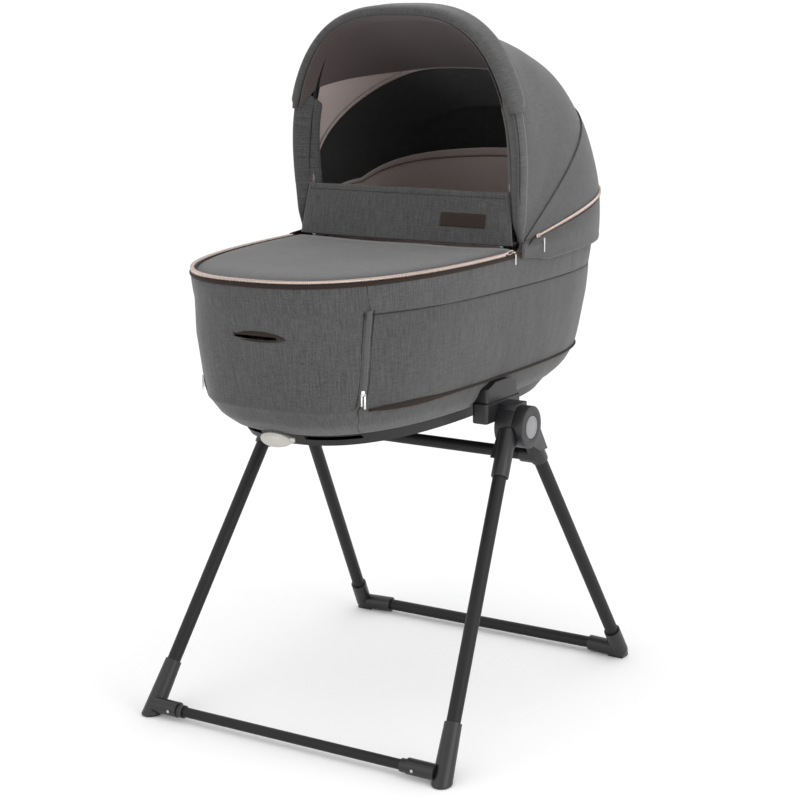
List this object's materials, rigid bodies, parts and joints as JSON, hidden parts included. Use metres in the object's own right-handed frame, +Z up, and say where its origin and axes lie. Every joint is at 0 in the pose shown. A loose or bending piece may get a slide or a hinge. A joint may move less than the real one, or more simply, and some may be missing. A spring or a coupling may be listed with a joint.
{
  "type": "bassinet on stand",
  "caption": "Fabric carrycot with folding hood, apron and wind flap, resting on a folding tubular stand with hinged hubs.",
  "frame": {"origin": "on the floor, under the middle of the whole object", "axes": "+Z up, -Y towards the foot end with the carry-handle slot, +X to the right seen from the foot end"},
  "size_m": [0.5734, 0.8918, 1.1372],
  "materials": {
    "black_tube": "matte powder coat",
    "steel": "plain",
    "grey_button": "satin",
    "silver_knob": "pearl silver",
    "black_plastic": "fine grain",
    "tray_plastic": "fine grain",
    "tub_board": "plain",
    "grey_fabric": "melange weave",
    "brown_trim": "ribbed tape",
    "gold_zip": "champagne coil",
    "dark_zip": "zip tape",
    "pull_metal": "polished",
    "brown_lining": "plain weave",
    "beige_lining": "plain weave",
    "black_mesh": "fine net",
    "cotton": "jersey"
  },
  "bodies": {
    "stand": {"hub_left": "black_plastic", "hub_right": "black_plastic", "adapter_seat_left": "black_plastic", "adapter_seat_right": "black_plastic", "front_leg_left": "black_tube", "front_leg_right": "black_tube", "front_boot_left": "black_plastic", "front_boot_right": "black_plastic", "bar_connector_left": "black_plastic", "bar_connector_right": "black_plastic", "pivot_pins": "steel", "front_bar": "black_tube", "bar_rivets": "steel"},
    "rear_frame": {"rear_arm_left": "black_plastic", "rear_arm_right": "black_plastic", "rear_leg_left": "black_tube", "rear_leg_right": "black_tube", "rear_elbow_left": "black_plastic", "rear_elbow_right": "black_plastic", "rear_bar": "black_tube", "cross_bar": "black_tube"},
    "fold_button_left": {"fold_button_left": "grey_button"},
    "fold_button_right": {"fold_button_right": "grey_button"},
    "bassinet": {"base_tray": "tray_plastic", "lug_left": "black_plastic", "lug_right": "black_plastic", "tub_floor": "tub_board", "tub_wall": "tub_board", "tub_lining": "cotton", "lower_skirt": "grey_fabric", "side_panel": "grey_fabric", "piping": "brown_trim", "handle_binding": "brown_trim", "corner_zips": "dark_zip", "rim_band": "brown_trim", "rim_zip": "gold_zip", "apron_cover": "grey_fabric", "mattress_foot": "cotton", "backrest_hinge": "steel", "hood_hinge_left": "black_plastic", "hood_hinge_right": "black_plastic", "hood_rear_panel": "grey_fabric", "hood_zip": "gold_zip", "hood_skirt": "grey_fabric", "hood_lining": "beige_lining", "mesh_window": "black_mesh"},
    "hood_middle": {"hood_bow_middle": "steel", "hood_middle_panel": "grey_fabric"},
    "hood_front": {"hood_bow_front": "steel", "hood_front_panel": "grey_fabric", "visor": "grey_fabric", "visor_lining": "brown_lining"},
    "wind_flap": {"wind_flap": "grey_fabric"},
    "backrest": {"backrest_board": "tub_board", "mattress_head": "cotton"},
    "recline_knob": {"recline_knob": "silver_knob"},
    "corner_pull_left": {"corner_pull_left": "pull_metal"},
    "corner_pull_right": {"corner_pull_right": "pull_metal"},
    "rim_pull": {"rim_pull": "pull_metal"},
    "hood_pull": {"hood_pull": "pull_metal"}
  },
  "joints": [
    {"name": "stand_fold", "type": "hinge", "parent": "stand", "child": "rear_frame", "pos_m": [0, -0.0165, 0.473], "axis": [-1, 0, 0], "range_deg": [0, 60]},
    {"name": "fold_button_left_press", "type": "slide", "parent": "rear_frame", "child": "fold_button_left", "axis": [1, 0, 0], "range_m": [0, 0.003], "stiffness_N_per_m": 600, "springref_m": -0.003},
    {"name": "fold_button_right_press", "type": "slide", "parent": "rear_frame", "child": "fold_button_right", "axis": [-1, 0, 0], "range_m": [0, 0.003], "stiffness_N_per_m": 600, "springref_m": -0.003},
    {"name": "bassinet_lift", "type": "slide", "parent": "stand", "child": "bassinet", "axis": [0, 0, 1], "range_m": [0, 0.15]},
    {"name": "hood_middle_fold", "type": "hinge", "parent": "bassinet", "child": "hood_middle", "pos_m": [0, 0.0155, 0.757], "axis": [-1, 0, 0], "range_deg": [0, 12]},
    {"name": "hood_front_fold", "type": "hinge", "parent": "hood_middle", "child": "hood_front", "pos_m": [0, 0.0155, 0.757], "axis": [-1, 0, 0], "range_deg": [0, 38], "deforming": ["hood_front_panel", "hood_middle_panel", "hood_rear_panel", "mesh_window", "hood_lining", "visor", "visor_lining"]},
    {"name": "wind_flap_fold", "type": "hinge", "parent": "bassinet", "child": "wind_flap", "pos_m": [0, -0.005, 0.756], "axis": [1, 0, 0], "range_deg": [0, 84]},
    {"name": "backrest_recline", "type": "hinge", "parent": "bassinet", "child": "backrest", "pos_m": [0, -0.0385, 0.517], "axis": [1, 0, 0], "range_deg": [0, 22]},
    {"name": "recline_knob_pull", "type": "slide", "parent": "bassinet", "child": "recline_knob", "axis": [0, -1, 0], "range_m": [0, 0.018], "stiffness_N_per_m": 120, "springref_m": -0.01},
    {"name": "corner_pull_left_swing", "type": "hinge", "parent": "bassinet", "child": "corner_pull_left", "pos_m": [-0.14888, -0.33286, 0.572], "axis": [-0.4373, 0.8993, 0], "range_deg": [0, 80]},
    {"name": "corner_pull_right_swing", "type": "hinge", "parent": "bassinet", "child": "corner_pull_right", "pos_m": [0.14888, -0.33286, 0.572], "axis": [-0.4373, -0.8993, 0], "range_deg": [0, 80]},
    {"name": "rim_pull_swing", "type": "hinge", "parent": "bassinet", "child": "rim_pull", "pos_m": [0.2217, -0.0345, 0.746], "axis": [0, -1, 0], "range_deg": [0, 80]},
    {"name": "hood_pull_swing", "type": "hinge", "parent": "bassinet", "child": "hood_pull", "pos_m": [0.2217, 0.0635, 0.762], "axis": [0, -1, 0], "range_deg": [0, 80]}
  ],
  "couplings": [
    {"joint": "hood_middle_fold", "follows": "hood_front_fold", "ratio": 0.3157}
  ]
}
